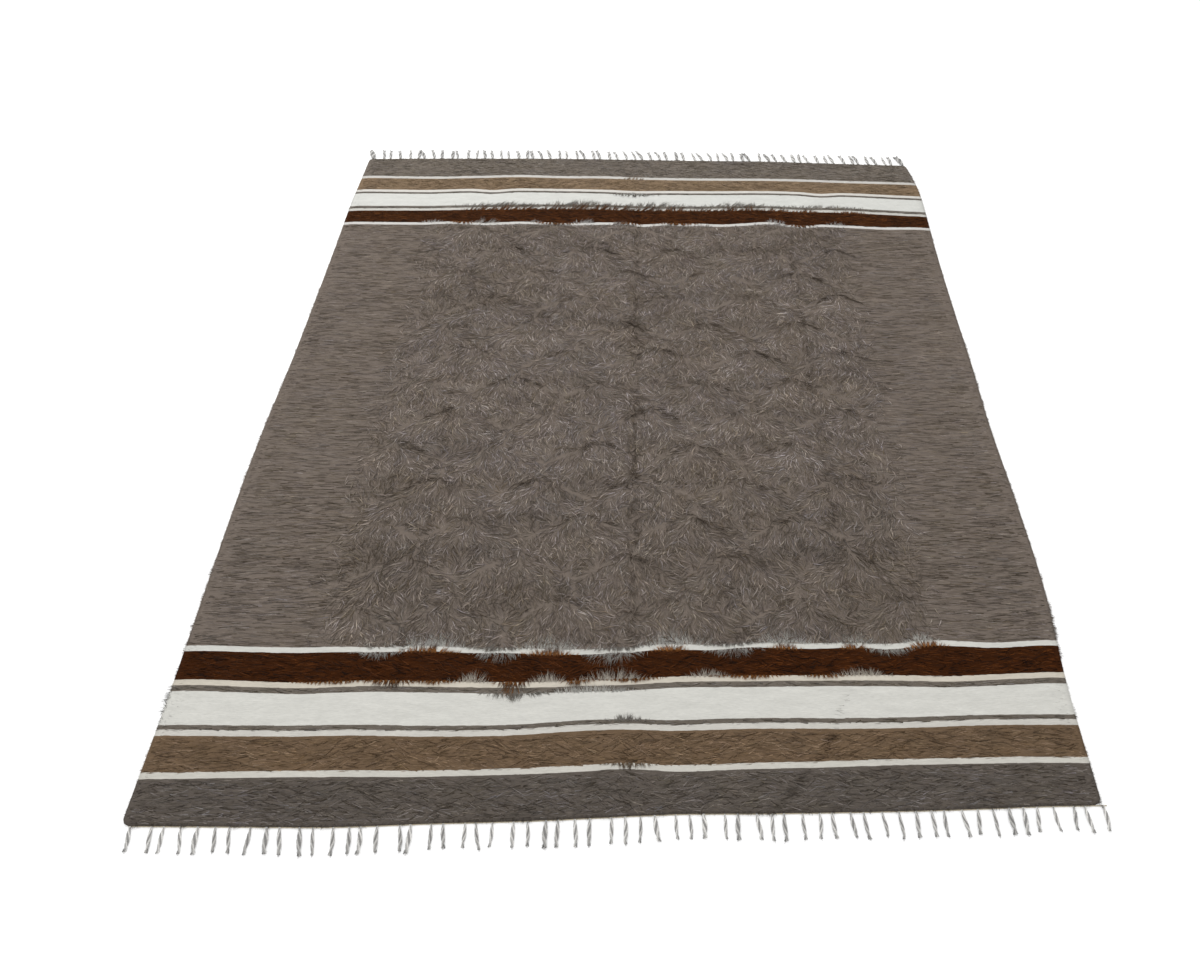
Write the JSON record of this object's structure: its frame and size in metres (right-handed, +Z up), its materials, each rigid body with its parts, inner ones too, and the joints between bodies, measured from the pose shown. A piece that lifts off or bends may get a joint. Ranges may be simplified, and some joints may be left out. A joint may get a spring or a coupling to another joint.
{
  "type": "wool blanket",
  "caption": "Rectangular long-pile woven blanket with cross bands at both ends and a tasselled fringe along each short edge, lying flat.",
  "frame": {"origin": "centre of the bounding box, on the flat underside", "axes": "+Y along the blanket towards its back end, +X across it to the right, +Z up through the pile"},
  "size_m": [1.9369, 2.5956, 0.0109],
  "materials": {
    "pile": "brushed grey-brown wool and goat hair, matt, with woven bands of white, tan, grey and dark brown near both ends",
    "fringe": "twisted off-white and grey cotton yarn, matt"
  },
  "bodies": {
    "root": {"blanket": "pile", "fringe_front": "fringe", "fringe_back": "fringe"}
  },
  "joints": []
}
